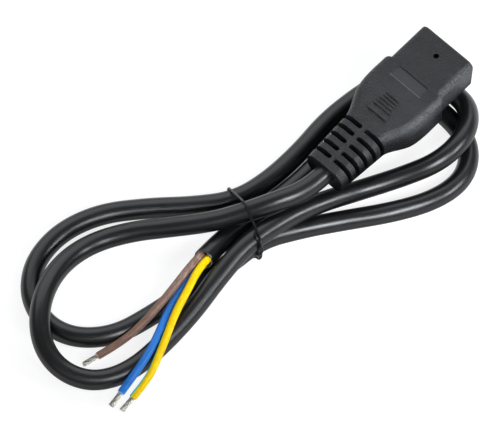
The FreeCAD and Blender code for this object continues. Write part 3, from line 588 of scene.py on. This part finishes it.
# Painted shade: a darker copy of the tin, which stands in for the shade between the strands.
TINNED_SHADED = metal("tinned_shaded", (0.26, 0.25, 0.215), (0.50, 0.48, 0.435), 0.40, 1100.0, 0.5)
BRASS = metal("contact_brass", (0.66, 0.48, 0.20), (0.80, 0.62, 0.30), 0.30, 500.0, 0.2)
STEEL = metal("tie_steel", (0.42, 0.42, 0.43), (0.56, 0.56, 0.57), 0.35, 900.0, 0.2)

for name, look in (("overmould", OVERMOULD), ("contact_carrier", CARRIER), ("carrier_cap", CARRIER),
                   ("line_contact", BRASS), ("neutral_contact", BRASS), ("earth_contact", BRASS),
                   ("tie_coating", TIE), ("tie_wire", STEEL)):
    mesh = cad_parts[name].data
    mesh.materials.clear()
    mesh.materials.append(look)

# ----------------------------------------------------------------------- cable
route = nurbs("cable_route", ROUTE)
line = read(route)
line, along = even(line, 0.0011)
inner = [line[0] - (line[1] - line[0]).normalized() * d * MM for d in (3.0, 2.0, 1.0)]
line = inner + line
along = list(np.array([-3.0, -2.0, -1.0]) * MM) + list(along)
count = len(line)
lobes = 2 * math.pi / 0.085


def cable_profile(i, s, a):
    """Round, with the three laid cores just showing through the jacket."""
    r = CABLE_R - 0.02 * MM + 0.02 * MM * math.cos(3 * (a - s * lobes))
    if i >= count - 2:
        r -= (0.10 if i == count - 1 else 0.02) * MM
    return r


mesh = tube_mesh("cable", line, cable_profile, 40, True, False, along)
# The cut end: a rim, and the bore with the cores in it.
import bmesh  # noqa: E402

work = bmesh.new()
work.from_mesh(mesh)
work.verts.ensure_lookup_table()
uv = work.loops.layers.uv.verify()
fr = frames(line)
t, n, b = fr[-1]
rows = [[work.verts[(count - 1) * 40 + k] for k in range(40)]]
for back_off, radius in ((-0.03, 4.25), (-0.05, 4.0), (0.05, 3.80), (0.4, 3.72), (5.0, 3.70)):
    ring = []
    for k in range(40):
        a = 2 * math.pi * k / 40
        wob = 1 + 0.006 * math.sin(5 * a + 1) + 0.004 * math.sin(9 * a)
        ring.append(work.verts.new(line[-1] - t * back_off * MM + (n * math.cos(a) + b * math.sin(a)) * radius * MM * wob))
    rows.append(ring)
for j, (one, two) in enumerate(zip(rows, rows[1:])):
    for k in range(40):
        q = (k + 1) % 40
        face = work.faces.new((one[k], one[q], two[q], two[k]))
        face.material_index = 1 if j < 4 else 0
        face.smooth = j > 0
        for loop in face.loops:
            loop[uv].uv = (k / 40, along[-1])
centre = work.verts.new(line[-1] - t * 5.0 * MM)
for k in range(40):
    face = work.faces.new((rows[-1][k], rows[-1][(k + 1) % 40], centre))
    face.material_index = 0
work.to_mesh(mesh)
work.free()
cable = place("cable", mesh, JACKET, CUT)
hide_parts("cable_jacket")
bpy.data.objects.remove(route)

# ----------------------------------------------------------------------- cores
LOOKS = {"line": BROWN, "neutral": BLUE, "earth": YELLOW}
end = line[-1]
cores = {}


def strand_tubes(name, base, way, seed):
    """The bare twisted end: strands laid round each other, tinned together."""
    rng = np.random.default_rng(seed)
    n = way.orthogonal().normalized()
    b = way.cross(n)
    verts, faces, shaded = [], [], []
    flat = rng.uniform(0, math.pi)
    squeeze = n * math.cos(flat) + b * math.sin(flat)

    def add(radius, ring, phase, pitch, stop, lift, dark=0):
        start = len(verts)
        first = len(faces)
        steps, sides = 22, 8
        points = []
        for i in range(steps + 1):
            f = i / steps
            s = -1.6 * MM + f * (stop + 1.6 * MM)
            a = phase + 2 * math.pi * s / pitch
            out = ring * (1 + lift * max(0.0, f - 0.4))
            p = (n * math.cos(a) + b * math.sin(a)) * out
            press = 0.22 * max(0.0, f - 0.45) / 0.55
            p -= squeeze * p.dot(squeeze) * press
            points.append(base + way * s + p)
        fr = frames(points)
        for i, (p, (t, nn, bb)) in enumerate(zip(points, fr)):
            r = radius * (0.72 if i == steps else 1.0)
            for k in range(sides):
                a = 2 * math.pi * k / sides
                verts.append(p + (nn * math.cos(a) + bb * math.sin(a)) * r)
        for i in range(steps):
            for k in range(sides):
                q = (k + 1) % sides
                faces.append((start + i * sides + k, start + i * sides + q,
                              start + (i + 1) * sides + q, start + (i + 1) * sides + k))
        faces.append(tuple(start + k for k in range(sides))[::-1])
        faces.append(tuple(start + steps * sides + k for k in range(sides)))
        shaded.extend([dark] * (len(faces) - first))

    # Every third outer strand takes the darker tin copy, as painted shade between strands.
    outer = 10
    for k in range(outer):
        add((0.23 if k % 3 == 2 else 0.265) * MM, 0.85 * MM, 2 * math.pi * k / outer + rng.uniform(-0.1, 0.1), 11.0 * MM,
            TIP - rng.uniform(0.05, 0.75) * MM, rng.uniform(0.45, 0.7), 1 if k % 3 == 2 else 0)
    for k in range(5):
        add(0.26 * MM, 0.42 * MM, 2 * math.pi * k / 5 + 0.3, 11.0 * MM,
            TIP - rng.uniform(0.05, 0.3) * MM, rng.uniform(-0.1, 0.0))
    mesh = bpy.data.meshes.new(name)
    mesh.from_pydata([tuple(v) for v in verts], [], faces)
    mesh.materials.append(TINNED)
    mesh.materials.append(TINNED_SHADED)
    mesh.polygons.foreach_set("material_index", shaded)
    mesh.shade_smooth()
    mesh.update()
    return mesh


for number, (name, points) in enumerate(TAILS.items()):
    # The first point is moved up to the cut end, along the run that it starts.
    a, c = Vector(points[0]) * MM, Vector(points[1]) * MM
    run = (c - a).normalized()
    first = a + run * ((end - a).dot(run) - 1.2 * MM)
    path = nurbs(name + "_route", [tuple(first / MM)] + points[1:])
    tail, s = even(read(path), 0.0008)
    bpy.data.objects.remove(path)
    # A short last band for the paler cut edge.
    tail, s = list(tail), list(s)
    tail.insert(-1, tail[-1] + (tail[-2] - tail[-1]).normalized() * 0.5 * MM)
    s.insert(-1, s[-1] - 0.5 * MM)
    last = len(tail)
    up_hint = Vector((0, 0, 1))

    def core_profile(i, s, a, last=last):
        r = CORE_R - 0.03 * MM
        if i == last - 1:
            r -= 0.12 * MM
        elif i == last - 2:
            r -= 0.02 * MM
        return r

    mesh = tube_mesh(name + "_core", tail, core_profile, 28, True, True, list(s))
    core = place(name + "_core", mesh, LOOKS[name], EDGES[name])
    for polygon in mesh.polygons:
        if min(polygon.vertices) >= (last - 2) * 28:
            polygon.material_index = 1
    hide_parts(name + "_insulation")
    way = (tail[-1] - tail[-2]).normalized()
    strands = place(name + "_strands", strand_tubes(name + "_strands", tail[-1], way, 7 + number))
    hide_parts(name + "_conductor")
    cores[name] = (core, strands, tail)

# ------------------------------------------------------------- floor and light
floor_mesh = bpy.data.meshes.new("floor")
s = 6.0
floor_mesh.from_pydata([(-s, -s, FLOOR - 0.0002), (s, -s, FLOOR - 0.0002), (s, s, FLOOR - 0.0002), (-s, s, FLOOR - 0.0002)], [], [(0, 1, 2, 3)])
floor = bpy.data.objects.new("floor", floor_mesh)
scene.collection.objects.link(floor)
made, tree, shader = material("floor_white")
where = tree.nodes.new("ShaderNodeTexCoord").outputs["Object"]
slow = noise(tree, where, 3.0, 2.0, 0.5)
tree.links.new(ramp(tree, slow, [(0.3, (0.24, 0.24, 0.24)), (0.7, (0.26, 0.26, 0.26))]), shader.inputs["Base Color"])
shader.inputs["Roughness"].default_value = 1.0
shader.inputs["Specular IOR Level"].default_value = 0.0
shader.inputs["Emission Color"].default_value = (1.0, 1.0, 1.0, 1.0)
shader.inputs["Emission Strength"].default_value = 0.84
floor_mesh.materials.append(made)

world = bpy.data.worlds.new("world")
scene.world = world
world.use_nodes = True
world.node_tree.nodes["Background"].inputs["Color"].default_value = (1, 1, 1, 1)
world.node_tree.nodes["Background"].inputs["Strength"].default_value = 0.25


def softbox(name, direction, distance, wide, high, power):
    """An area light that faces the middle of the part."""
    light = bpy.data.lights.new(name, "AREA")
    light.shape = "RECTANGLE"
    light.size, light.size_y = wide, high
    light.energy = power
    obj = bpy.data.objects.new(name, light)
    scene.collection.objects.link(obj)
    d = direction.normalized()
    obj.location = target + d * distance
    obj.rotation_mode = "QUATERNION"
    obj.rotation_quaternion = (-d).to_track_quat("-Z", "Y")
    return obj


def towards(to_right, to_up, to_camera):
    return right * to_right + up * to_up + back * to_camera


def compass(azimuth, elevation):
    """Azimuth from +X towards +Y, in degrees."""
    a, e = math.radians(azimuth), math.radians(elevation)
    return Vector((math.cos(a) * math.cos(e), math.sin(a) * math.cos(e), math.sin(e)))


def glow(name, azimuth, elevation, distance, wide, high, radiance, about=None, spread=180.0):
    """A softbox of a given radiance; it may face another point and be narrowed."""
    obj = softbox(name, compass(azimuth, elevation), distance, wide, high, radiance * math.pi * wide * high)
    if about is not None:
        obj.location += about - target
    obj.data.spread = math.radians(spread)
    obj.data.color = (0.965, 1.0, 1.045)
    return obj


near_side = target + right * 0.065
glow("key_wide", -27, 46, 1.2, 2.0, 0.46, 0.62)
glow("key_near", -28, 49, 0.36, 0.20, 0.15, 1.55, near_side, 44.0)
glow("edge_right", 24, 36, 0.60, 0.30, 0.17, 0.74, near_side, 32.0)
glow("fill_back", 140, 42, 1.1, 1.8, 1.10, 1.5)
